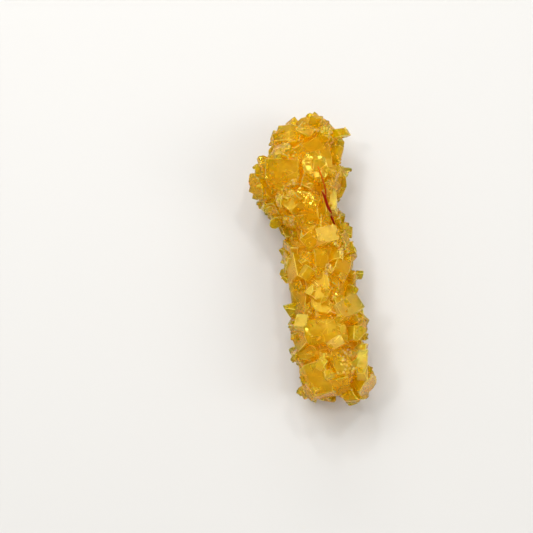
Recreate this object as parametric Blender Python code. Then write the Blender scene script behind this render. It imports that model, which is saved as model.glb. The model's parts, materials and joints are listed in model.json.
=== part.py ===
"""Rock candy stick: sugar crystals grown together along one line, tinted by saffron.

The stick lies on its back on the XY plane. It runs along Y, with its foot at -Y and its broad head at +Y,
and the origin is under its middle. Lengths below are in millimetres, and the meshes are in metres.
"""

import math
import random

import bmesh
import bpy
from mathutils import Matrix, Vector
from mathutils.bvhtree import BVHTree

MM = 0.001

# Driving dimensions of the stick, measured from its foot end
LENGTH = 108.5
# Each station: how far along, where its middle lies across, and half its width and depth to the tips
STATIONS = (
    (4.0, 0.8, 14.2, 11.8),
    (13.0, -0.2, 13.0, 12.2),
    (20.0, -0.4, 12.9, 11.8),
    (29.0, 0.6, 14.0, 11.8),
    (38.0, -0.5, 11.8, 10.8),
    (53.0, 0.3, 13.8, 11.6),
    (63.5, 0.0, 11.2, 11.0),
    (73.5, -3.1, 14.2, 12.2),
    (83.5, -4.1, 17.7, 13.2),
    (89.0, -3.0, 16.8, 13.2),
    (93.5, -1.2, 14.6, 12.8),
    (100.0, 1.4, 13.4, 12.0),
    (105.0, 2.6, 12.0, 10.8),
)
FOOT_AXIS_HEIGHT = 11.2
HEAD_AXIS_HEIGHT = 12.2
CORE_DEPTH = 2.6  # the crystals' tips stand this far above the core that carries them
CORE_SIDES = 14
CORE_RINGS = 30
END_DEPTH = 4.4  # and this far beyond its two ends
END_ROUND = 5.0  # the core's ends round off over this length, down to a small flat
END_FLAT = 0.35

# The middle of the stick's foot end lies here in the part's own frame
FOOT_X = 2.43
FOOT_Y = -55.03

# Crystals spread over the core
SEED = 6
SPACING = 4.3
TRIES = 9000
LONG_SIDES = (5.0, 9.0)
WIDE_SIDES = (3.8, 6.2)
THICK_SIDES = (2.8, 4.4)
FLAT_REACH = (1.5, 2.8)  # how far a crystal that lies flat stands out of the core
UPRIGHT_REACH = (1.8, 3.0)
UPRIGHT_SHARE = 0.22
LEAN = 30.0
MONOCLINIC_LEAN = math.tan(math.radians(13.0))

# The large crystals of the upper side: along, across, long, wide and thick sides, turn from X, and reach
LARGE_CRYSTALS = (
    (83.9, -9.4, 12.0, 9.6, 6.0, 8.0, 3.0),
    (83.8, 3.0, 10.4, 8.8, 6.0, 84.0, 2.8),
    (98.9, -6.1, 8.0, 6.8, 5.0, 20.0, 2.6),
    (98.5, 11.6, 5.0, 4.6, 4.2, 40.0, 2.8),
    (93.5, 8.6, 6.4, 5.0, 4.4, 60.0, 2.8),
    (81.8, -19.8, 9.8, 5.8, 5.4, 78.0, 2.4),
    (72.0, 8.0, 8.4, 3.6, 4.6, 86.0, 3.6),
    (73.5, -8.6, 8.4, 6.6, 5.0, 50.0, 2.6),
    (72.0, -1.4, 8.8, 6.6, 5.0, 24.0, 2.6),
    (60.6, 3.0, 7.4, 6.2, 5.0, 4.0, 3.2),
    (51.8, -5.0, 5.6, 4.0, 4.2, 20.0, 3.0),
    (48.8, -10.8, 9.6, 6.4, 5.4, 72.0, 3.0),
    (47.5, 8.2, 6.8, 6.4, 4.8, 30.0, 2.8),
    (40.6, -2.4, 12.2, 8.4, 5.4, 88.0, 3.2),
    (31.9, 7.0, 8.2, 6.8, 4.8, 24.0, 3.4),
    (28.8, -9.8, 6.0, 4.6, 4.4, 76.0, 3.0),
    (24.4, -1.5, 14.0, 8.2, 5.4, 3.0, 2.4),
    (20.3, 12.4, 6.2, 4.2, 4.4, 70.0, 3.0),
    (11.4, 9.3, 8.8, 4.4, 5.2, 80.0, 3.8),
    (12.0, 2.4, 9.6, 6.2, 5.4, 88.0, 3.0),
    (8.4, -8.0, 11.6, 9.6, 6.2, 74.0, 2.8),
    (6.4, 12.2, 10.4, 8.2, 6.0, 78.0, 3.2),
    (6.0, 1.2, 8.0, 6.4, 5.4, 82.0, 2.8),
)

# The saffron thread: its route as along and across, and its radius at each point
THREAD_ROUTE = (
    (83.8, 3.2, 0.20),
    (80.8, 3.9, 0.22),
    (77.9, 4.6, 0.24),
    (75.2, 4.9, 0.28),
    (72.8, 4.5, 0.46),
    (70.0, 4.8, 0.52),
    (67.8, 5.5, 0.42),
    (66.6, 5.8, 0.28),
    (65.3, 6.0, 0.40),
    (63.4, 6.9, 0.32),
)
THREAD_STEP = 1.2
THREAD_SIDES = 6
THREAD_SINK = 0.15


def metres(x, y, z):
    return Vector((x, y, z)) * MM


def between(low, high, share):
    return low + (high - low) * share


def station_at(along):
    """The middle across, half width and half depth at this distance along, eased between the stations."""
    if along <= STATIONS[0][0]:
        return STATIONS[0][1:]
    for before, after in zip(STATIONS, STATIONS[1:]):
        if along <= after[0]:
            share = (along - before[0]) / (after[0] - before[0])
            share = share * share * (3 - 2 * share)
            return [between(a, b, share) for a, b in zip(before[1:], after[1:])]
    return STATIONS[-1][1:]


def core_point(along, angle):
    """A point on the core, in millimetres. Angle 0 is +X, and 90 degrees is up."""
    across, half_width, half_depth = station_at(along)
    room = max(0.0, min(1.0, (along - END_DEPTH) / END_ROUND, (LENGTH - END_DEPTH - along) / END_ROUND))
    rounding = between(END_FLAT, 1.0, math.sqrt(1 - (1 - room) ** 2))
    return Vector((
        FOOT_X + across + (half_width - CORE_DEPTH) * rounding * math.cos(angle),
        FOOT_Y + along,
        between(FOOT_AXIS_HEIGHT, HEAD_AXIS_HEIGHT, along / LENGTH)
        + (half_depth - CORE_DEPTH) * rounding * math.sin(angle),
    ))


def core_normal(along, angle):
    low, high = max(END_DEPTH, along - 0.4), min(LENGTH - END_DEPTH, along + 0.4)
    run = core_point(high, angle) - core_point(low, angle)
    turn = core_point(along, angle + 0.05) - core_point(along, angle - 0.05)
    return turn.cross(run).normalized()


def spread_places(rng):
    """Places over the core, as distance along and angle, evenly by area and no nearer than the spacing."""
    step = (LENGTH - 2 * END_DEPTH) / 160
    rings = [END_DEPTH + (i + 0.5) * step for i in range(160)]
    areas = []
    for along in rings:
        slant = core_point(along + step / 2, 0.8) - core_point(along - step / 2, 0.8)
        across = core_point(along, 0.0) - core_point(along, math.pi)
        areas.append(slant.length * across.length)
    kept = []
    for _ in range(TRIES):
        along = rng.choices(rings, areas)[0] + rng.uniform(-step, step) / 2
        angle = rng.uniform(0.0, 2 * math.pi)
        point = core_point(along, angle)
        if all((point - other).length >= SPACING for _, _, other in kept):
            kept.append((along, angle, point))
    return [(along, angle) for along, angle, _ in kept]


def place_of(normal, run, turn, lean, lean_way):
    """A rotation whose Z is the normal, turned about it from the run direction and then leaned over."""
    side = (run - normal * run.dot(normal)).normalized()
    frame = Matrix((side, normal.cross(side), normal)).transposed()
    tip = Matrix.Rotation(lean, 3, Vector((math.cos(lean_way), math.sin(lean_way), 0)))
    return frame @ tip @ Matrix.Rotation(turn, 3, "Z")


def planned_crystals():
    """Every crystal as its middle, rotation, three sides and habit number."""
    rng = random.Random(SEED)
    crystals = []
    for along, across, long, wide, thick, turn, reach in LARGE_CRYSTALS:
        middle, half_width, _ = station_at(along)
        angle = math.acos(max(-0.97, min(0.97, (across - middle) / half_width)))
        normal = core_normal(along, angle)
        lean, lean_way = math.radians(rng.uniform(4, 16)), rng.uniform(0, 2 * math.pi)
        rotation = place_of(normal, Vector((1, 0, 0)), math.radians(turn), lean, lean_way)
        centre = core_point(along, angle) + normal * (reach - thick / 2)
        crystals.append((centre, rotation, (long, wide, thick), len(crystals) % 4))
    ends = [(END_DEPTH, 0.0), (LENGTH - END_DEPTH, 0.0)]
    for along, angle in ends + spread_places(rng):
        normal = core_normal(along, angle)
        sides = [rng.uniform(*LONG_SIDES), rng.uniform(*WIDE_SIDES), rng.uniform(*THICK_SIDES)]
        upright = rng.random() < UPRIGHT_SHARE
        reach = rng.uniform(*(UPRIGHT_REACH if upright else FLAT_REACH))
        turn, lean = rng.uniform(0, math.pi), math.radians(rng.uniform(0, LEAN))
        lean_way = rng.uniform(0, 2 * math.pi)
        rotation = place_of(normal, Vector((0, 1, 0)), turn, lean, lean_way)
        if upright:
            rotation = rotation @ Matrix.Rotation(math.pi / 2, 3, "Y")
        height = sides[0] if upright else sides[2]
        centre = core_point(along, angle) + normal * (reach - height / 2)
        crystals.append((centre, rotation, sides, rng.randrange(4)))
    return crystals


# Each habit is a unit block with these faces cut away: the face's normal, and its distance from the middle
HABITS = (
    (((1, 0, 0.55), 0.46), ((-1, 0, 0.7), 0.48), ((0, 1, -0.8), 0.50)),
    (((1, 0.9, 0), 0.48), ((-1, 0.9, 0), 0.50), ((1, -0.9, 0.2), 0.50), ((-1, -0.9, 0), 0.47)),
    (((1, 0, 0.8), 0.44), ((1, 0, -0.9), 0.50), ((-1, 0.1, 0.8), 0.47), ((0.1, -1, 0.9), 0.50)),
    (((1, 1, 1), 0.52), ((-1, 1, 0.4), 0.50), ((-0.2, -1, 0.8), 0.46)),
)


def habit_mesh(number):
    """One unit crystal: a block that leans as sugar crystals do, with its habit's faces cut."""
    bm = bmesh.new()
    bmesh.ops.create_cube(bm, size=1.0)
    for normal, distance in HABITS[number]:
        normal = Vector(normal).normalized()
        everything = bm.verts[:] + bm.edges[:] + bm.faces[:]
        cut = bmesh.ops.bisect_plane(
            bm, geom=everything, plane_co=normal * distance, plane_no=normal, clear_outer=True
        )
        rim = [e for e in cut["geom_cut"] if isinstance(e, bmesh.types.BMEdge)]
        bmesh.ops.edgeloop_fill(bm, edges=rim)
    lean = Matrix.Identity(4)
    lean[0][2] = MONOCLINIC_LEAN
    bmesh.ops.transform(bm, matrix=lean, verts=bm.verts)
    bmesh.ops.recalc_face_normals(bm, faces=bm.faces)
    mesh = bpy.data.meshes.new(f"habit_{number}")
    bm.to_mesh(mesh)
    bm.free()
    return mesh


def core_object():
    """The core that carries the crystals: rings along the stick, bridged and capped."""
    bm = bmesh.new()
    rings = []
    for i in range(CORE_RINGS):
        share = (1 - math.cos(math.pi * i / (CORE_RINGS - 1))) / 2
        share = between(share, i / (CORE_RINGS - 1), 0.7)
        along = between(END_DEPTH, LENGTH - END_DEPTH, share)
        ring = []
        for side in range(CORE_SIDES):
            ring.append(bm.verts.new(core_point(along, 2 * math.pi * side / CORE_SIDES) * MM))
        rings.append([bm.edges.new((ring[k - 1], ring[k])) for k in range(CORE_SIDES)])
    for near, far in zip(rings, rings[1:]):
        bmesh.ops.bridge_loops(bm, edges=near + far)
    bmesh.ops.holes_fill(bm, edges=rings[0] + rings[-1], sides=0)
    bmesh.ops.recalc_face_normals(bm, faces=bm.faces)
    mesh = bpy.data.meshes.new("core")
    bm.to_mesh(mesh)
    bm.free()
    return linked(mesh, "core", bpy.context.scene.collection)


def linked(mesh, name, collection):
    obj = bpy.data.objects.new(name, mesh)
    collection.objects.link(obj)
    return obj


def crystal_objects(collection):
    habits = [habit_mesh(number) for number in range(len(HABITS))]
    for count, (centre, rotation, sides, habit) in enumerate(planned_crystals()):
        mesh = habits[habit].copy()
        mesh.transform(Matrix.LocRotScale(centre * MM, rotation.to_quaternion(), Vector(sides) * MM))
        linked(mesh, f"crystal_{count:03d}", collection)


def joined(obj, collection, operation="UNION"):
    """Joins the collection's objects to obj, or cuts them from it, and removes them."""
    boolean = obj.modifiers.new("join", "BOOLEAN")
    boolean.operation = operation
    boolean.operand_type = "COLLECTION"
    boolean.collection = collection
    boolean.solver = "MANIFOLD"
    graph = bpy.context.evaluated_depsgraph_get()
    mesh = bpy.data.meshes.new_from_object(obj.evaluated_get(graph))
    obj.modifiers.clear()
    obj.data = mesh
    for other in list(collection.objects):
        bpy.data.objects.remove(other)


def floor_cutter(collection):
    """Takes off what reaches below the surface that the stick lies on."""
    bm = bmesh.new()
    bmesh.ops.create_cube(bm, size=1.0)
    size = (LENGTH * 2 * MM, LENGTH * 2 * MM, 0.02)
    bmesh.ops.transform(bm, matrix=Matrix.LocRotScale((0, 0, -0.01), None, size), verts=bm.verts)
    mesh = bpy.data.meshes.new("floor")
    bm.to_mesh(mesh)
    bm.free()
    linked(mesh, "floor", collection)


def whole_shell(mesh):
    """Keeps the largest shell, which fills the sealed hollows and drops the loose scraps."""
    bm = bmesh.new()
    bm.from_mesh(mesh)
    left, shells = set(bm.faces), []
    while left:
        shell, edge_of_shell = set(), [left.pop()]
        while edge_of_shell:
            face = edge_of_shell.pop()
            shell.add(face)
            near = {n for edge in face.edges for n in edge.link_faces if n in left}
            left -= near
            edge_of_shell.extend(near)
        shells.append(shell)
    shells.sort(key=len)
    loose = [face for shell in shells[:-1] for face in shell]
    bmesh.ops.delete(bm, geom=loose, context="FACES")
    bm.to_mesh(mesh)
    bm.free()


def thread_points(tree):
    """The thread's points with their radii, resting on the crystals' high spots."""
    plan = []
    for (a0, x0, r0), (a1, x1, r1) in zip(THREAD_ROUTE, THREAD_ROUTE[1:]):
        steps = max(1, round(math.hypot(a1 - a0, x1 - x0) / THREAD_STEP))
        plan += [[between(p, q, i / steps) for p, q in ((a0, a1), (x0, x1), (r0, r1))] for i in range(steps)]
    plan.append(THREAD_ROUTE[-1])
    tops = []
    for along, across, _ in plan:
        hit, *_ = tree.ray_cast(metres(FOOT_X + across, FOOT_Y + along, 60.0), Vector((0, 0, -1)))
        tops.append(hit.z / MM)
    highest = [max(tops[max(0, i - 1):i + 2]) for i in range(len(tops))]
    heights = [sum(highest[max(0, i - 2):i + 3]) / len(highest[max(0, i - 2):i + 3]) for i in range(len(tops))]
    return [
        (metres(FOOT_X + across, FOOT_Y + along, height + radius - THREAD_SINK), radius * MM)
        for (along, across, radius), height in zip(plan, heights)
    ]


def thread_object(points, collection):
    """The saffron thread as a thin tube: rings round its route, bridged and capped."""
    bm = bmesh.new()
    rings = []
    for i, (point, radius) in enumerate(points):
        run = points[min(i + 1, len(points) - 1)][0] - points[max(i - 1, 0)][0]
        placed = Matrix.Translation(point) @ Vector((0, 0, 1)).rotation_difference(run).to_matrix().to_4x4()
        circle = bmesh.ops.create_circle(bm, segments=THREAD_SIDES, radius=radius, matrix=placed)
        rings.append(list({edge for vert in circle["verts"] for edge in vert.link_edges}))
    for near, far in zip(rings, rings[1:]):
        bmesh.ops.bridge_loops(bm, edges=near + far)
    bmesh.ops.holes_fill(bm, edges=rings[0] + rings[-1], sides=0)
    bmesh.ops.recalc_face_normals(bm, faces=bm.faces)
    mesh = bpy.data.meshes.new("thread")
    bm.to_mesh(mesh)
    bm.free()
    return linked(mesh, "thread", collection)


def candy_material():
    material = bpy.data.materials.new("saffron_sugar")
    material.use_nodes = True
    shader = material.node_tree.nodes["Principled BSDF"]
    shader.inputs["Base Color"].default_value = (0.60, 0.30, 0.013, 1.0)
    shader.inputs["Roughness"].default_value = 0.18
    shader.inputs["Metallic"].default_value = 0.0
    return material


def main():
    for obj in list(bpy.data.objects):
        bpy.data.objects.remove(obj)
    pieces = bpy.data.collections.new("pieces")
    bpy.context.scene.collection.children.link(pieces)

    candy = core_object()
    crystal_objects(pieces)
    joined(candy, pieces)
    floor_cutter(pieces)
    joined(candy, pieces, "DIFFERENCE")
    whole_shell(candy.data)

    bm = bmesh.new()
    bm.from_mesh(candy.data)
    tree = BVHTree.FromBMesh(bm)
    bm.free()
    thread_object(thread_points(tree), pieces)
    joined(candy, pieces)
    whole_shell(candy.data)

    candy.name = "rock_candy"
    candy.data.name = "rock_candy"
    candy.data.materials.clear()
    candy.data.materials.append(candy_material())


main()
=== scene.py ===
import json
import math
import random

import bpy
from mathutils import Matrix, Vector
from mathutils.bvhtree import BVHTree

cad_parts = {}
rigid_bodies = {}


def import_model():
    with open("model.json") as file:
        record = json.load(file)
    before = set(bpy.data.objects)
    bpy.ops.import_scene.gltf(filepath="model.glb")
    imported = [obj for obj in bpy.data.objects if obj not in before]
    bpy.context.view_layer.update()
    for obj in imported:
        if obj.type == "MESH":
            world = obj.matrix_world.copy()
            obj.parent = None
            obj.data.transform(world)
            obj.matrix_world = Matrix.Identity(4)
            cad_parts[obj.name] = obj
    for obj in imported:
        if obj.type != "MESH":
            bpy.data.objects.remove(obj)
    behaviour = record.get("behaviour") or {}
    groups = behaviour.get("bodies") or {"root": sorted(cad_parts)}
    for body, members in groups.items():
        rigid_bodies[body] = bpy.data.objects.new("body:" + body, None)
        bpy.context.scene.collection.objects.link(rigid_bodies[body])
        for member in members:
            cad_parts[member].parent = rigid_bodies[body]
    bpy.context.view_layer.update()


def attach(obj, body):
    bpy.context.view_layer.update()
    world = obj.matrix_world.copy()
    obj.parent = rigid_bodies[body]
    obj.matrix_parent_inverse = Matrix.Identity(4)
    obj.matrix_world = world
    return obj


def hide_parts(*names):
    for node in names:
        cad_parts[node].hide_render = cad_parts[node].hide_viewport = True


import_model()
bpy.ops.object.select_all(action="DESELECT")


# The core of the stick, the oldest sugar, which the crystals that show have grown on. It is cloudy boiled
# sugar, tinted by saffron, and grew round one line in a still pot of syrup, so it is broad at the head,
# narrow at the waist and wider again at the foot.

MM = 0.001
STICK_LENGTH = 108.5
FOOT_X, FOOT_Y = 2.43, -55.03
FOOT_AXIS_HEIGHT, HEAD_AXIS_HEIGHT = 11.2, 12.2
CORE_DEPTH, END_DEPTH = 2.6, 4.4
END_ROUND, END_FLAT = 5.0, 0.35
CORE_SIDES, CORE_RINGS = 14, 30
RING_EVENNESS = 0.7
CLOUDY_DEPTH, CLOUDY_END_DEPTH = 4.6, 7.4
CLOUDY_SIDES, CLOUDY_RINGS = 20, 44
LUMP_SIZE, LUMP_HEIGHT = 3.2, 2.4

# How far along the stick, where its middle lies across, and half its width and depth out to the tips
STATIONS = (
    (4.0, 0.8, 14.2, 11.8),
    (13.0, -0.2, 13.0, 12.2),
    (20.0, -0.4, 12.9, 11.8),
    (29.0, 0.6, 14.0, 11.8),
    (38.0, -0.5, 11.8, 10.8),
    (53.0, 0.3, 13.8, 11.6),
    (63.5, 0.0, 11.2, 11.0),
    (73.5, -3.1, 14.2, 12.2),
    (83.5, -4.1, 17.7, 13.2),
    (89.0, -3.0, 16.8, 13.2),
    (93.5, -1.2, 14.6, 12.8),
    (100.0, 1.4, 13.4, 12.0),
    (105.0, 2.6, 12.0, 10.8),
)


def between(low, high, share):
    return low + (high - low) * share


def station_at(along):
    """Where the stick's middle lies across, and its half width and half depth, eased between the stations."""
    if along <= STATIONS[0][0]:
        return STATIONS[0][1:]
    for before, after in zip(STATIONS, STATIONS[1:]):
        if along <= after[0]:
            share = (along - before[0]) / (after[0] - before[0])
            share = share * share * (3 - 2 * share)
            return [between(a, b, share) for a, b in zip(before[1:], after[1:])]
    return STATIONS[-1][1:]


def core_point(along, angle, depth=CORE_DEPTH):
    """A point on the core, in millimetres, this deep under the tips. Angle 0 is +X, 90 degrees is up."""
    across, half_width, half_depth = station_at(along)
    from_end = min(along - END_DEPTH, STICK_LENGTH - END_DEPTH - along)
    room = max(0.0, min(1.0, from_end / END_ROUND))
    rounding = between(END_FLAT, 1.0, math.sqrt(1 - (1 - room) ** 2))
    return Vector((
        FOOT_X + across + (half_width - depth) * rounding * math.cos(angle),
        FOOT_Y + along,
        between(FOOT_AXIS_HEIGHT, HEAD_AXIS_HEIGHT, along / STICK_LENGTH)
        + (half_depth - depth) * rounding * math.sin(angle),
    ))


def core_normal(along, angle):
    low, high = max(END_DEPTH, along - 0.4), min(STICK_LENGTH - END_DEPTH, along + 0.4)
    run = core_point(high, angle) - core_point(low, angle)
    turn = core_point(along, angle + 0.05) - core_point(along, angle - 0.05)
    return turn.cross(run).normalized()


def ringed_core(name, depth, end_depth, sides, rings):
    """A mesh cylinder cut into rings, each of which then takes its place along the stick.

    The cylinder's Z becomes the stick's Y, which turns its faces inward, so they are flipped at the end."""
    bpy.ops.mesh.primitive_cylinder_add(vertices=sides, radius=1.0, depth=1.0, end_fill_type="NGON")
    core = bpy.context.object
    core.name = name
    bpy.ops.object.mode_set(mode="EDIT")
    for ring in range(1, rings - 1):
        bpy.ops.mesh.select_all(action="SELECT")
        bpy.ops.mesh.bisect(plane_co=(0, 0, ring / (rings - 1) - 0.5), plane_no=(0, 0, 1))
    bpy.ops.object.mode_set(mode="OBJECT")
    for vert in core.data.vertices:
        place = vert.co.z + 0.5
        place = between((1 - math.cos(math.pi * place)) / 2, place, RING_EVENNESS)
        along = between(end_depth, STICK_LENGTH - end_depth, place)
        vert.co = core_point(along, math.atan2(vert.co.y, vert.co.x), depth) * MM
    core.data.flip_normals()
    return core


cloudy = ringed_core("cloudy_core", CLOUDY_DEPTH, CLOUDY_END_DEPTH, CLOUDY_SIDES, CLOUDY_RINGS)
remesh = cloudy.modifiers.new("even", "REMESH")
remesh.mode = "VOXEL"
remesh.voxel_size = 0.8 * MM
lumps = bpy.data.textures.new("lumps", "CLOUDS")
lumps.noise_scale = LUMP_SIZE * MM
lumps.noise_depth = 2
lumpy = cloudy.modifiers.new("lumpy", "DISPLACE")
lumpy.texture, lumpy.strength, lumpy.mid_level = lumps, LUMP_HEIGHT * MM, 0.55
bpy.context.view_layer.objects.active = cloudy
for modifier in (remesh.name, lumpy.name):
    bpy.ops.object.modifier_apply(modifier=modifier)
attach(cloudy, "root")


def new_material(name):
    material = bpy.data.materials.new(name)
    material.use_nodes = True
    return material, material.node_tree, material.node_tree.nodes["Principled BSDF"]


def node(tree, kind, inputs=(), **settings):
    """A shader node with its settings, and inputs given as values or as the sockets that feed them."""
    made = tree.nodes.new("ShaderNode" + kind)
    for name, value in settings.items():
        setattr(made, name, value)
    for socket, value in dict(inputs).items():
        if isinstance(value, bpy.types.NodeSocket):
            tree.links.new(value, made.inputs[socket])
        else:
            made.inputs[socket].default_value = value
    return made


def blend(tree, share, *colours):
    """The first colour turning into the second as the share goes from 0 to 1. Either may be a socket."""
    first, second = (colour if isinstance(colour, bpy.types.NodeSocket) else (*colour, 1.0)
                     for colour in colours)
    return node(tree, "Mix", {0: share, 6: first, 7: second}, data_type="RGBA").outputs[2]


def noise(tree, place, scale, detail, roughness=0.5):
    """Clouds from 0 to 1, finer as the scale goes up."""
    inputs = {"Vector": place, "Scale": scale, "Detail": detail, "Roughness": roughness}
    return node(tree, "TexNoise", inputs).outputs["Fac"]


def ranged(tree, value, low, high, to_low=0.0, to_high=1.0):
    """The value's range from low to high, stretched to the new one and cut off beyond it."""
    inputs = {"Value": value, "From Min": low, "From Max": high, "To Min": to_low, "To Max": to_high}
    return node(tree, "MapRange", inputs).outputs[0]


def core_material():
    material, tree, shader = new_material("cloudy_sugar")
    place = node(tree, "TexCoord").outputs["Object"]
    share = ranged(tree, noise(tree, place, 170.0, 3.0), 0.36, 0.64)
    tree.links.new(blend(tree, share, (1.0, 0.70, 0.06), (1.0, 0.86, 0.18)), shader.inputs["Base Color"])
    shader.inputs["Roughness"].default_value = 0.5
    return material


cloudy.data.materials.append(core_material())

candy = ringed_core("sugar_crystals", CORE_DEPTH, END_DEPTH, CORE_SIDES, CORE_RINGS)


# The crystals that cover the stick: clear sugar, in blocks of 5 to 12 mm with slanted ends, grown into each
# other at every angle. Most lie flat on the core, and about a quarter stand out of it.

SPREAD_SEED, TINT_SEED = 6, 5
SPACING, TRIES, SPREAD_RINGS = 4.3, 9000, 160
LONG_SIDES, WIDE_SIDES, THICK_SIDES = (5.0, 9.0), (3.8, 6.2), (2.8, 4.4)
FLAT_REACH, UPRIGHT_REACH, UPRIGHT_SHARE = (1.5, 2.8), (1.8, 3.0), 0.22
LEAN = 30.0
MONOCLINIC_LEAN = math.tan(math.radians(13.0))
EDGE_ROUND = 0.26 * MM

# The large crystals of the upper side: along, across, long, wide and thick sides, turn from X, and reach
LARGE_CRYSTALS = (
    (83.9, -9.4, 12.0, 9.6, 6.0, 8.0, 3.0),
    (83.8, 3.0, 10.4, 8.8, 6.0, 84.0, 2.8),
    (98.9, -6.1, 8.0, 6.8, 5.0, 20.0, 2.6),
    (98.5, 11.6, 5.0, 4.6, 4.2, 40.0, 2.8),
    (93.5, 8.6, 6.4, 5.0, 4.4, 60.0, 2.8),
    (81.8, -19.8, 9.8, 5.8, 5.4, 78.0, 2.4),
    (72.0, 8.0, 8.4, 3.6, 4.6, 86.0, 3.6),
    (73.5, -8.6, 8.4, 6.6, 5.0, 50.0, 2.6),
    (72.0, -1.4, 8.8, 6.6, 5.0, 24.0, 2.6),
    (60.6, 3.0, 7.4, 6.2, 5.0, 4.0, 3.2),
    (51.8, -5.0, 5.6, 4.0, 4.2, 20.0, 3.0),
    (48.8, -10.8, 9.6, 6.4, 5.4, 72.0, 3.0),
    (47.5, 8.2, 6.8, 6.4, 4.8, 30.0, 2.8),
    (40.6, -2.4, 12.2, 8.4, 5.4, 88.0, 3.2),
    (31.9, 7.0, 8.2, 6.8, 4.8, 24.0, 3.4),
    (28.8, -9.8, 6.0, 4.6, 4.4, 76.0, 3.0),
    (24.4, -1.5, 14.0, 8.2, 5.4, 3.0, 2.4),
    (20.3, 12.4, 6.2, 4.2, 4.4, 70.0, 3.0),
    (11.4, 9.3, 8.8, 4.4, 5.2, 80.0, 3.8),
    (12.0, 2.4, 9.6, 6.2, 5.4, 88.0, 3.0),
    (8.4, -8.0, 11.6, 9.6, 6.2, 74.0, 2.8),
    (6.4, 12.2, 10.4, 8.2, 6.0, 78.0, 3.2),
    (6.0, 1.2, 8.0, 6.4, 5.4, 82.0, 2.8),
)

# Each habit is a unit block with these faces cut away: the face's normal, and its distance from the middle
HABITS = (
    (((1, 0, 0.55), 0.46), ((-1, 0, 0.7), 0.48), ((0, 1, -0.8), 0.50)),
    (((1, 0.9, 0), 0.48), ((-1, 0.9, 0), 0.50), ((1, -0.9, 0.2), 0.50), ((-1, -0.9, 0), 0.47)),
    (((1, 0, 0.8), 0.44), ((1, 0, -0.9), 0.50), ((-1, 0.1, 0.8), 0.47), ((0.1, -1, 0.9), 0.50)),
    (((1, 1, 1), 0.52), ((-1, 1, 0.4), 0.50), ((-0.2, -1, 0.8), 0.46)),
    (((1, 1, 0), 0.62), ((-1, -1, 0.3), 0.60)),
)


def spread_places(rng):
    """Places over the core, as distance along and angle, evenly by area and no nearer than the spacing."""
    step = (STICK_LENGTH - 2 * END_DEPTH) / SPREAD_RINGS
    rings = [END_DEPTH + (i + 0.5) * step for i in range(SPREAD_RINGS)]
    areas = []
    for along in rings:
        slant = core_point(along + step / 2, 0.8) - core_point(along - step / 2, 0.8)
        across = core_point(along, 0.0) - core_point(along, math.pi)
        areas.append(slant.length * across.length)
    kept = []
    for _ in range(TRIES):
        along = rng.choices(rings, areas)[0] + rng.uniform(-step, step) / 2
        angle = rng.uniform(0.0, 2 * math.pi)
        point = core_point(along, angle)
        if all((point - other).length >= SPACING for _, _, other in kept):
            kept.append((along, angle, point))
    return [(along, angle) for along, angle, _ in kept]


def place_of(normal, run, turn, lean, lean_way):
    """A rotation whose Z is the normal, turned about it from the run direction and then leaned over."""
    side = (run - normal * run.dot(normal)).normalized()
    placed = Matrix((side, normal.cross(side), normal)).transposed()
    tip = Matrix.Rotation(lean, 3, Vector((math.cos(lean_way), math.sin(lean_way), 0)))
    return placed @ tip @ Matrix.Rotation(turn, 3, "Z")


def planned_crystals():
    """Every crystal as its middle, rotation, three sides and habit number."""
    rng = random.Random(SPREAD_SEED)
    crystals = []
    for along, across, long, wide, thick, turn, reach in LARGE_CRYSTALS:
        middle, half_width, _ = station_at(along)
        angle = math.acos(max(-0.97, min(0.97, (across - middle) / half_width)))
        normal = core_normal(along, angle)
        lean, lean_way = math.radians(rng.uniform(4, 16)), rng.uniform(0, 2 * math.pi)
        rotation = place_of(normal, Vector((1, 0, 0)), math.radians(turn), lean, lean_way)
        centre = core_point(along, angle) + normal * (reach - thick / 2)
        crystals.append((centre, rotation, (long, wide, thick), len(crystals) % 4))
    ends = [(END_DEPTH, 0.0), (STICK_LENGTH - END_DEPTH, 0.0)]
    for along, angle in ends + spread_places(rng):
        normal = core_normal(along, angle)
        sides = [rng.uniform(*LONG_SIDES), rng.uniform(*WIDE_SIDES), rng.uniform(*THICK_SIDES)]
        upright = rng.random() < UPRIGHT_SHARE
        reach = rng.uniform(*(UPRIGHT_REACH if upright else FLAT_REACH))
        turn = rng.uniform(0, math.pi)
        lean, lean_way = math.radians(rng.uniform(0, LEAN)), rng.uniform(0, 2 * math.pi)
        rotation = place_of(normal, Vector((0, 1, 0)), turn, lean, lean_way)
        if upright:
            rotation = rotation @ Matrix.Rotation(math.pi / 2, 3, "Y")
        centre = core_point(along, angle) + normal * (reach - (sides[0] if upright else sides[2]) / 2)
        crystals.append((centre, rotation, sides, rng.randrange(4)))
    return crystals


def habit_block(number):
    """One unit crystal, cut from a block as its habit says and leaned over as sugar crystals are."""
    bpy.ops.mesh.primitive_cube_add(size=1.0)
    block = bpy.context.object
    bpy.ops.object.mode_set(mode="EDIT")
    for normal, distance in HABITS[number]:
        normal = Vector(normal).normalized()
        bpy.ops.mesh.select_all(action="SELECT")
        bpy.ops.mesh.bisect(plane_co=normal * distance, plane_no=normal, use_fill=True, clear_outer=True)
    bpy.ops.object.mode_set(mode="OBJECT")
    lean = Matrix.Identity(4)
    lean[0][2] = MONOCLINIC_LEAN
    block.data.transform(lean)
    return block


blocks = [habit_block(number) for number in range(len(HABITS))]
growing = bpy.data.collections.new("growing")
bpy.context.scene.collection.children.link(growing)


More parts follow.
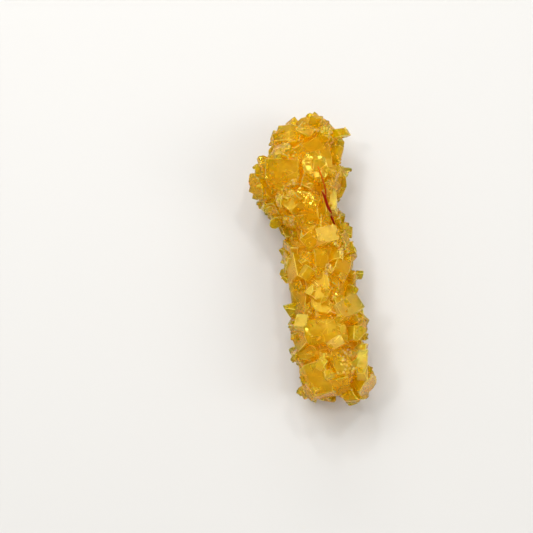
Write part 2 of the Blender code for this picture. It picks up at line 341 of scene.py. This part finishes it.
def grow(name, centre, rotation, sides, habit, edge_round, shade):
    """One crystal of its own, in millimetres, waiting to be joined to the stick.

    A shade of 0 to 1 goes from cloudy to clear, and from 1 to 2 the crystal is painted pale cream, a painted
    reflection."""
    mesh = blocks[habit].data.copy()
    mesh.transform(Matrix.LocRotScale(centre * MM, rotation.to_quaternion(), Vector(sides) * MM))
    mesh.attributes.new("shade", "FLOAT", "FACE").data.foreach_set("value", [shade] * len(mesh.polygons))
    crystal = bpy.data.objects.new(name, mesh)
    growing.objects.link(crystal)
    if edge_round:
        bevel = crystal.modifiers.new("edges", "BEVEL")
        bevel.width = edge_round
        bevel.segments = 1


def join_growth(operation="UNION"):
    """Joins what has grown to the stick, or cuts it away, and keeps the stick's one outer shell."""
    global candy
    boolean = candy.modifiers.new("join", "BOOLEAN")
    boolean.operation = operation
    boolean.operand_type = "COLLECTION"
    boolean.collection = growing
    boolean.solver = "MANIFOLD"
    bpy.context.view_layer.objects.active = candy
    bpy.ops.object.modifier_apply(modifier=boolean.name)
    for crystal in list(growing.objects):
        bpy.data.objects.remove(crystal)
    bpy.ops.object.select_all(action="DESELECT")
    candy.select_set(True)
    bpy.ops.object.mode_set(mode="EDIT")
    bpy.ops.mesh.separate(type="LOOSE")
    bpy.ops.object.mode_set(mode="OBJECT")
    shells = sorted(bpy.context.selected_objects, key=lambda shell: len(shell.data.polygons))
    candy = shells.pop()
    for shell in shells:
        bpy.data.objects.remove(shell)


tints = random.Random(TINT_SEED)
for count, crystal in enumerate(planned_crystals()):
    grow(f"crystal_{count}", *crystal, edge_round=EDGE_ROUND, shade=tints.random())
join_growth()


# The plates on the upper side that lie level with the light, painted pale cream as a painted reflection of
# it: thin crystals of sugar that grew last, each sunk into its neighbours with one broad, smooth face left
# open.

# Along, across, long and wide sides, turn from X, and how the open face leans toward +X and +Y
PLATES = (
    (72.2, 7.0, 8.0, 2.6, 84.0, -0.18, 0.08),
    (59.2, 2.8, 7.4, 6.2, 4.0, -0.15, 0.14),
    (31.9, 7.1, 8.2, 6.4, 24.0, -0.14, 0.02),
    (28.8, -9.6, 4.6, 4.2, 70.0, -0.26, 0.14),
    (10.8, 9.3, 8.4, 3.6, 80.0, -0.16, 0.12),
    (90.0, -8.0, 6.0, 2.4, 20.0, -0.24, 0.16),
    (46.5, 2.2, 3.0, 2.6, 30.0, -0.20, 0.10),
    (19.9, 0.9, 5.6, 3.6, 20.0, -0.30, 0.02),
)
PLATE_THICKNESS, PLATE_OPEN = 2.6, 0.35
# The plates' shade of 1.5 paints them half way to pale cream, a painted reflection of the light
PLATE_HABIT, PLATE_SHADE_PAINTED_PALE = 4, 1.5

tree = BVHTree.FromObject(candy, bpy.context.evaluated_depsgraph_get())
for count, (along, across, long, wide, turn, lean_x, lean_y) in enumerate(PLATES):
    up = Vector((lean_x, lean_y, 1.0)).normalized()
    rotation = place_of(up, Vector((1, 0, 0)), math.radians(turn), 0.0, 0.0)
    spot = Vector((FOOT_X + across, FOOT_Y + along, 21.0))
    spots = [spot + rotation @ Vector((long * i, wide * j, 0))
             for i in (-0.3, 0.0, 0.3) for j in (-0.3, 0.0, 0.3)]
    hits = [tree.ray_cast((at + up * 30) * MM, -up)[0] for at in spots]
    top = spot + up * (max((hit / MM - spot).dot(up) for hit in hits if hit) + PLATE_OPEN)
    middle, sides = top - up * PLATE_THICKNESS / 2, (long, wide, PLATE_THICKNESS)
    grow(f"plate_{count}", middle, rotation, sides, PLATE_HABIT, EDGE_ROUND, PLATE_SHADE_PAINTED_PALE)
join_growth()


# The small crystals on and between the large ones, 1.3 to 4.4 mm, and the sugar grains that crust them. They
# start where the syrup dries last, so more of them sit in the hollows than on the tops.

SMALL_SEED = 29
MIDDLE_COUNT, MIDDLE_SIDES = 60, (2.6, 4.6)
SMALL_COUNT, SMALL_SIDES = 200, (1.3, 2.6)
GRAIN_COUNT, GRAIN_SIDES = 360, (0.5, 1.2)
HOLLOW_HEIGHT, HOLLOW_SHARE = 1.3, 0.85
ABOVE = 60.0


def surface_places(rng, count, sides):
    """Places on the stick's surface as it is now, as hit point, outward normal and side length."""
    tree = BVHTree.FromObject(candy, bpy.context.evaluated_depsgraph_get())
    found = []
    while len(found) < count:
        along, angle = rng.uniform(2.0, STICK_LENGTH - 2.0), rng.uniform(0, 2 * math.pi)
        base, outward = core_point(along, angle), core_normal(along, angle)
        way = (outward + Vector([rng.uniform(-0.5, 0.5) for _ in range(3)])).normalized()
        hit, normal, _, _ = tree.ray_cast((base + way * 12) * MM, -way)
        if hit is None or hit.z < 0.0012:
            continue
        height = (hit / MM - base).dot(outward)
        if height > HOLLOW_HEIGHT and rng.random() < HOLLOW_SHARE:
            continue
        found.append((hit / MM, normal.normalized(), outward, rng.uniform(*sides)))
    return found


rng = random.Random(SMALL_SEED)
for kind, number, lengths, sunk, edge in (
    ("middle", MIDDLE_COUNT, MIDDLE_SIDES, 0.42, EDGE_ROUND),
    ("small", SMALL_COUNT, SMALL_SIDES, 0.36, 0.0),
    ("grain", GRAIN_COUNT, GRAIN_SIDES, 0.2, 0.0),
):
    for count, (hit, normal, outward, side) in enumerate(surface_places(rng, number, lengths)):
        up = (normal + outward).normalized()
        turn, lean, lean_way = rng.uniform(0, math.pi), rng.uniform(0, 0.7), rng.uniform(0, 2 * math.pi)
        rotation = place_of(up, Vector((0.3, 1, 0.2)), turn, lean, lean_way)
        sides = (side, side * rng.uniform(0.6, 0.95), side * rng.uniform(0.5, 0.8))
        grow(f"{kind}_{count}", hit - up * side * sunk, rotation, sides, rng.randrange(4), edge, rng.random())
    join_growth()

# Where the syrup dried in a puddle, its grains crowd together and glitter: along, across and spread
CRUSTS = (
    (11.5, 3.0, 3.4),
    (16.5, 4.2, 2.4),
    (46.8, 1.8, 1.6),
    (54.5, 7.5, 2.6),
    (98.0, 8.2, 3.2),
    (93.5, -9.0, 3.0),
    (77.5, -8.5, 2.6),
    (37.0, 3.0, 2.2),
    (67.0, -9.0, 2.8),
)
# Some crust grains take the shade 2.0, which paints them pale cream as a painted glint
CRUST_GRAINS, CRUST_SIDES, CRUST_SHADES_AND_GLINT = 26, (0.6, 1.2), (0.2, 0.7, 2.0)
tree = BVHTree.FromObject(candy, bpy.context.evaluated_depsgraph_get())
for spot, (along, across, spread) in enumerate(CRUSTS):
    for count in range(CRUST_GRAINS):
        aside, further = rng.gauss(0, spread / 2), rng.gauss(0, spread / 2)
        place = Vector((FOOT_X + across + aside, FOOT_Y + along + further, ABOVE))
        hit, normal, _, _ = tree.ray_cast(place * MM, Vector((0, 0, -1)))
        side = rng.uniform(*CRUST_SIDES)
        turn, lean, lean_way = rng.uniform(0, math.pi), rng.uniform(0, 0.6), rng.uniform(0, 2 * math.pi)
        rotation = place_of(normal, Vector((0.3, 1, 0.2)), turn, lean, lean_way)
        sides = (side, side * 0.8, side * 0.7)
        if hit.z > 0.012:
            habit, shade = rng.randrange(4), rng.choice(CRUST_SHADES_AND_GLINT)
            grow(f"crust_{spot}_{count}", hit / MM, rotation, sides, habit, 0.0, shade)
join_growth()

# The stick lies on the tips of its lowest crystals, which are worn flat
bpy.ops.mesh.primitive_cube_add(size=1.0, location=(0, 0, -0.01), scale=(0.3, 0.3, 0.02))
wear_and_edge_highlight = bpy.context.object
bpy.ops.object.transform_apply(location=True, rotation=False, scale=True)
growing.objects.link(wear_and_edge_highlight)
bpy.context.scene.collection.objects.unlink(wear_and_edge_highlight)
join_growth("DIFFERENCE")
for block in blocks:
    bpy.data.objects.remove(block)
candy.name = "sugar_crystals"

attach(candy, "root")
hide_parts("rock_candy")


# How far each point stands out, from the core's surface (0) to the tips (1), which tells hollows from tips
# and puts painted shade in the hollows
rises = []
for vert in candy.data.vertices:
    along = min(max(vert.co.y / MM - FOOT_Y, 0.0), STICK_LENGTH)
    across, half_width, half_depth = station_at(along)
    aside = vert.co.x / MM - FOOT_X - across
    above = vert.co.z / MM - between(FOOT_AXIS_HEIGHT, HEAD_AXIS_HEIGHT, along / STICK_LENGTH)
    out = math.hypot(aside / half_width, above / half_depth) * half_width
    beyond = CORE_DEPTH + max(END_DEPTH - along, along - (STICK_LENGTH - END_DEPTH), -99.0) - half_width
    rises.append(max(out - half_width, beyond) / CORE_DEPTH + 1.0)
candy.data.attributes.new("rise", "FLOAT", "POINT").data.foreach_set("value", rises)

# The narrow faces along the crystals' edges, which get a painted highlight
rims = []
for face in candy.data.polygons:
    corners = [candy.data.vertices[index].co for index in face.vertices]
    longest = max((end - start).length for start, end in zip(corners, corners[1:] + corners[:1]))
    rims.append(float(longest > 0.35 * MM and face.area / longest < 1.4 * EDGE_ROUND))
candy.data.attributes.new("rim", "FLOAT", "FACE").data.foreach_set("value", rims)


# The sugar's colours, with painted shade that makes the hollows a deeper orange than the tips, each from its
# cloudy parts to its clear ones
SHADED_HOLLOW_SUGAR = (1.0, 0.63, 0.006), (1.0, 0.68, 0.01)
TIP_SUGAR = (1.0, 0.66, 0.01), (1.0, 0.74, 0.03)
MILKY_SUGAR, FROST = (1.0, 0.82, 0.08), (1.0, 0.84, 0.16)
# Pale cream is a painted reflection on the plates and some grains, and the edge colour is a painted highlight
PAINTED_REFLECTION_CREAM, EDGE_HIGHLIGHT = (1.0, 0.78, 0.34), (1.0, 0.82, 0.22)
SUGAR_IOR = 1.54

# Growth steps on the faces, as their size and height in millimetres and a shift of the pattern
STEPS = ((3.2, 0.2, 3.1), (1.1, 0.12, 8.3))
RIPPLE_HEIGHT = 0.1


def growth_facets(tree, place, size, shift):
    """Flat growth steps: cells of this size in millimetres, each a plane that tilts its own way."""
    inputs = {"Vector": place, "Location": (shift, shift * 0.7, shift * 1.3), "Scale": (1 / (size * MM),) * 3}
    at = node(tree, "Mapping", inputs).outputs[0]
    cells = node(tree, "TexVoronoi", {"Vector": at, "Scale": 1.0, "Randomness": 0.9}, distance="CHEBYCHEV")
    centre, random_way = cells.outputs["Position"], cells.outputs["Color"]
    reach = node(tree, "VectorMath", {0: at, 1: centre}, operation="SUBTRACT").outputs[0]
    tilt = node(tree, "VectorMath", {0: random_way, 1: (0.5, 0.5, 0.5)}, operation="SUBTRACT").outputs[0]
    return node(tree, "VectorMath", {0: reach, 1: tilt}, operation="DOT_PRODUCT").outputs["Value"]


def sugar_material():
    material, tree, shader = new_material("saffron_sugar")
    place = node(tree, "TexCoord").outputs["Object"]
    shade, rise, rim = (node(tree, "Attribute", attribute_name=name).outputs["Fac"]
                        for name in ("shade", "rise", "rim"))

    def maths(operation, *inputs):
        return node(tree, "Math", dict(enumerate(inputs)), operation=operation).outputs[0]

    # Each crystal has its own clearness, and haze drifts through them all
    haze = noise(tree, place, 190.0, 4.0, 0.6)
    clear = maths("ADD", maths("MULTIPLY", haze, 0.7), maths("MULTIPLY", shade, 0.25))
    clear = ranged(tree, clear, 0.24, 0.72)
    # Painted shade: the hollows take the deeper orange, the tips the lighter gold
    sugar = blend(tree, ranged(tree, rise, 0.2, 1.0),
                  blend(tree, clear, *SHADED_HOLLOW_SUGAR), blend(tree, clear, *TIP_SUGAR))

    # Milky specks and crooked inner cracks, where the haze is thick
    fog = noise(tree, place, 620.0, 5.0, 0.62)
    drift = node(tree, "TexNoise", {"Vector": place, "Scale": 240.0, "Detail": 2.0}).outputs["Color"]
    crooked = node(tree, "VectorMath", {0: drift, 1: (2.2 * MM,) * 3, 2: place}, operation="MULTIPLY_ADD")
    inputs = {"Vector": crooked.outputs[0], "Scale": 210.0}
    planes = node(tree, "TexVoronoi", inputs, feature="DISTANCE_TO_EDGE")
    cracks = ranged(tree, planes.outputs["Distance"], 0.0, 0.03, 0.4, 0.0)
    cracks = maths("MULTIPLY", cracks, ranged(tree, haze, 0.48, 0.56))
    milky = maths("MAXIMUM", ranged(tree, fog, 0.70, 1.30), cracks)
    sugar = blend(tree, milky, sugar, MILKY_SUGAR)

    # Sugar dust on the tips, a painted reflection that makes the plates and some grains pale cream, and a
    # painted highlight along the crystals' edges
    frost = ranged(tree, noise(tree, place, 75.0, 5.0, 0.6), 0.48, 0.66, 0.0, 0.55)
    frost = maths("MULTIPLY", frost, ranged(tree, rise, 0.3, 0.9))
    painted_reflection = ranged(tree, shade, 1.0, 2.0)
    wear_and_edge_highlight = maths("MULTIPLY", rim, ranged(tree, haze, 0.38, 0.56, 0.25, 1.0))
    for share, colour in ((frost, FROST), (painted_reflection, PAINTED_REFLECTION_CREAM), (wear_and_edge_highlight, EDGE_HIGHLIGHT)):
        sugar = blend(tree, share, sugar, colour)
    tree.links.new(sugar, shader.inputs["Base Color"])
    clearness = ranged(tree, clear, 0.0, 1.0, 0.78, 0.94)
    # The painted highlight on the edges and the painted reflection on the plates also take clearness away
    for share, loss in ((milky, 0.42), (frost, 0.2), (wear_and_edge_highlight, 0.3), (painted_reflection, 0.2)):
        clearness = maths("MULTIPLY_ADD", share, -loss, clearness)
    tree.links.new(clearness, shader.inputs["Transmission Weight"])
    tree.links.new(ranged(tree, haze, 0.0, 1.0, 0.02, 0.16), shader.inputs["Roughness"])
    shader.inputs["IOR"].default_value = SUGAR_IOR
    shader.inputs["Specular Tint"].default_value = (1.0, 0.83, 0.12, 1.0)
    shader.inputs["Subsurface Weight"].default_value = 1.0
    shader.inputs["Subsurface Radius"].default_value = (1.0, 0.5, 0.06)
    shader.inputs["Subsurface Scale"].default_value = 10.0 * MM

    # Growth steps and fine ripples on the faces
    height = maths("MULTIPLY", noise(tree, place, 260.0, 3.0), RIPPLE_HEIGHT * MM)
    for size, high, shift in STEPS:
        height = maths("MULTIPLY_ADD", growth_facets(tree, place, size, shift), high * MM, height)
    bump = node(tree, "Bump", {"Height": height, "Strength": 1.0, "Distance": 1.0}).outputs[0]
    tree.links.new(bump, shader.inputs["Normal"])

    # Saffron's colour in the sugar takes the blue out of the light, and fine haze scatters it
    absorb = node(tree, "VolumeAbsorption", {"Color": (1.0, 0.975, 0.0, 1.0), "Density": 1200.0}).outputs[0]
    scatter = node(tree, "VolumeScatter", {"Color": (1, 1, 1, 1), "Density": 160.0, "Anisotropy": 0.3})
    body = node(tree, "AddShader", {0: absorb, 1: scatter.outputs[0]}).outputs[0]
    tree.links.new(body, tree.nodes["Material Output"].inputs["Volume"])
    return material


candy.data.materials.clear()
candy.data.materials.append(sugar_material())


# The saffron thread on the head, a dried stigma that came down with the syrup: a thin orange-red stalk, the
# dark crimson trumpet below it, and a crumb that broke off its end. Each lies on the crystals' high spots
# and is stuck there by the sugar.

# Each strand as points along and across the stick, with the strand's radius there
STRANDS = {
    "stalk": ((83.9, 3.1, 0.12), (82.4, 3.5, 0.18), (80.8, 3.9, 0.21), (77.9, 4.6, 0.23), (76.0, 4.9, 0.26),
              (74.6, 4.9, 0.28), (73.4, 4.7, 0.24)),
    "trumpet": ((75.7, 3.4, 0.14), (74.6, 3.8, 0.36), (72.8, 4.4, 0.50), (70.0, 4.8, 0.54), (67.8, 5.5, 0.44),
                (66.7, 5.9, 0.20)),
    "crumb": ((66.9, 5.4, 0.24), (65.3, 6.0, 0.42), (64.2, 6.5, 0.36), (63.3, 7.1, 0.14)),
}
STRAND_STEP, STRAND_SINK = 0.4, 0.1
TRUMPET_TOP, STALK_START = 73.5, 81.0


def strand(name, route):
    """A tube along its route, which it takes from the high spots of the sugar under it."""
    tree = BVHTree.FromObject(candy, bpy.context.evaluated_depsgraph_get())
    bpy.ops.curve.primitive_nurbs_path_add()
    path = bpy.context.object
    curve = path.data
    curve.splines.clear()
    spline = curve.splines.new("POLY")
    plan = []
    for (a0, x0, r0), (a1, x1, r1) in zip(route, route[1:]):
        parts = max(1, round(math.hypot(a1 - a0, x1 - x0) / STRAND_STEP))
        for part in range(parts):
            plan.append([between(p, q, part / parts) for p, q in ((a0, a1), (x0, x1), (r0, r1))])
    plan.append(route[-1])
    tops = []
    for along, across, _ in plan:
        hit, *_ = tree.ray_cast(Vector((FOOT_X + across, FOOT_Y + along, ABOVE)) * MM, Vector((0, 0, -1)))
        tops.append(hit.z / MM)
    highest = [max(tops[max(0, i - 3):i + 4]) for i in range(len(tops))]
    spline.points.add(len(plan) - 1)
    for i, (along, across, radius) in enumerate(plan):
        near = highest[max(0, i - 5):i + 6]
        up = sum(near) / len(near) + radius - STRAND_SINK
        spline.points[i].co = (*(Vector((FOOT_X + across, FOOT_Y + along, up)) * MM), 1.0)
        spline.points[i].radius = radius * MM
    curve.bevel_depth = 1.0
    curve.bevel_resolution = 2
    curve.use_fill_caps = True
    bpy.ops.object.convert(target="MESH")
    piece = bpy.context.object
    piece.name = name
    bpy.ops.object.transform_apply(location=True, rotation=True, scale=True)
    bpy.ops.object.shade_smooth()
    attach(piece, "root")
    return piece


def saffron_material():
    material, tree, shader = new_material("dried_saffron")
    place = node(tree, "TexCoord").outputs["Object"]
    along = node(tree, "SeparateXYZ", {0: place}).outputs["Y"]
    fibres = noise(tree, place, 1500.0, 3.0)
    dark = blend(tree, fibres, (0.06, 0.0008, 0.0005), (0.32, 0.006, 0.001))
    share = ranged(tree, along, (FOOT_Y + TRUMPET_TOP) * MM, (FOOT_Y + STALK_START) * MM)
    tree.links.new(blend(tree, share, dark, (0.55, 0.075, 0.004)), shader.inputs["Base Color"])
    bump = node(tree, "Bump", {"Height": fibres, "Strength": 0.6, "Distance": 0.0001}).outputs[0]
    tree.links.new(bump, shader.inputs["Normal"])
    shader.inputs["Roughness"].default_value = 0.6
    shader.inputs["Specular IOR Level"].default_value = 0.15
    shader.inputs["Specular Tint"].default_value = (1.0, 0.35, 0.15, 1.0)
    return material


saffron = saffron_material()
for name, route in STRANDS.items():
    strand("saffron_" + name, route).data.materials.append(saffron)


# A plain pale floor, soft studio light that is brighter from the sides than from above, three small lights
# that make the glints, and the camera above the foot end, as the photograph looks at it.

bpy.ops.mesh.primitive_plane_add(size=4.0)
floor = bpy.context.object
floor.name = "floor"
paper, _, shader = new_material("pale_paper")
shader.inputs["Base Color"].default_value = (0.66, 0.655, 0.645, 1)
shader.inputs["Roughness"].default_value = 0.7
floor.data.materials.append(paper)

HORIZON_GLOW, ZENITH_GLOW = 1.02, 0.37


def softbox(name, place, size, power):
    """An area light that faces the stick, with its size in metres and its power in watts."""
    bpy.ops.object.light_add(type="AREA", location=place)
    light = bpy.context.object
    light.name = name
    light.data.shape = "RECTANGLE"
    light.data.size, light.data.size_y = size
    light.data.energy = power
    light.rotation_euler = (-Vector(place)).to_track_quat("-Z", "Y").to_euler()


softbox("key", (-0.35, 0.45, 0.85), (0.5, 0.4), 3.5)
softbox("side", (0.65, -0.25, 0.55), (0.4, 0.5), 2.0)
softbox("back", (0.1, 0.9, 0.45), (0.8, 0.15), 1.6)
for count, place in enumerate(((-0.3, 0.05, 0.62), (0.22, 0.3, 0.66), (-0.02, 0.5, 0.6))):
    softbox(f"glint_{count}", place, (0.08, 0.08), 0.7)
world = bpy.data.worlds.new("studio")
world.use_nodes = True
sky = world.node_tree.nodes["Background"]
sky.inputs["Color"].default_value = (1.0, 0.97, 0.91, 1)
way = node(world.node_tree, "TexCoord").outputs["Generated"]
height = node(world.node_tree, "SeparateXYZ", {0: way}).outputs["Z"]
glow = ranged(world.node_tree, height, 0.0, 1.0, HORIZON_GLOW, ZENITH_GLOW)
world.node_tree.links.new(glow, sky.inputs["Strength"])
bpy.context.scene.world = world
bpy.context.scene.view_settings.view_transform = "Standard"

# Light goes through many crystals before it leaves the stick
cycles = bpy.context.scene.cycles
cycles.max_bounces = cycles.transmission_bounces = cycles.volume_bounces = 16
cycles.glossy_bounces = 8

CAMERA_TURN, CAMERA_HEIGHT = math.radians(7.0), math.radians(75.0)
CAMERA_DISTANCE = 0.42
AIM = Vector((-0.01677, -0.00223, 0.013))
PIXEL, FRAME_PIXELS = 0.36 * MM, 533  # the size of a pixel at the aim point
looking = Vector((
    math.sin(CAMERA_TURN) * math.cos(CAMERA_HEIGHT),
    math.cos(CAMERA_TURN) * math.cos(CAMERA_HEIGHT),
    -math.sin(CAMERA_HEIGHT),
))
bpy.ops.object.camera_add(location=AIM - looking * CAMERA_DISTANCE)
camera = bpy.context.object
camera.rotation_euler = looking.to_track_quat("-Z", "Y").to_euler()
camera.data.lens = camera.data.sensor_width * CAMERA_DISTANCE / (FRAME_PIXELS * PIXEL)
bpy.context.scene.camera = camera
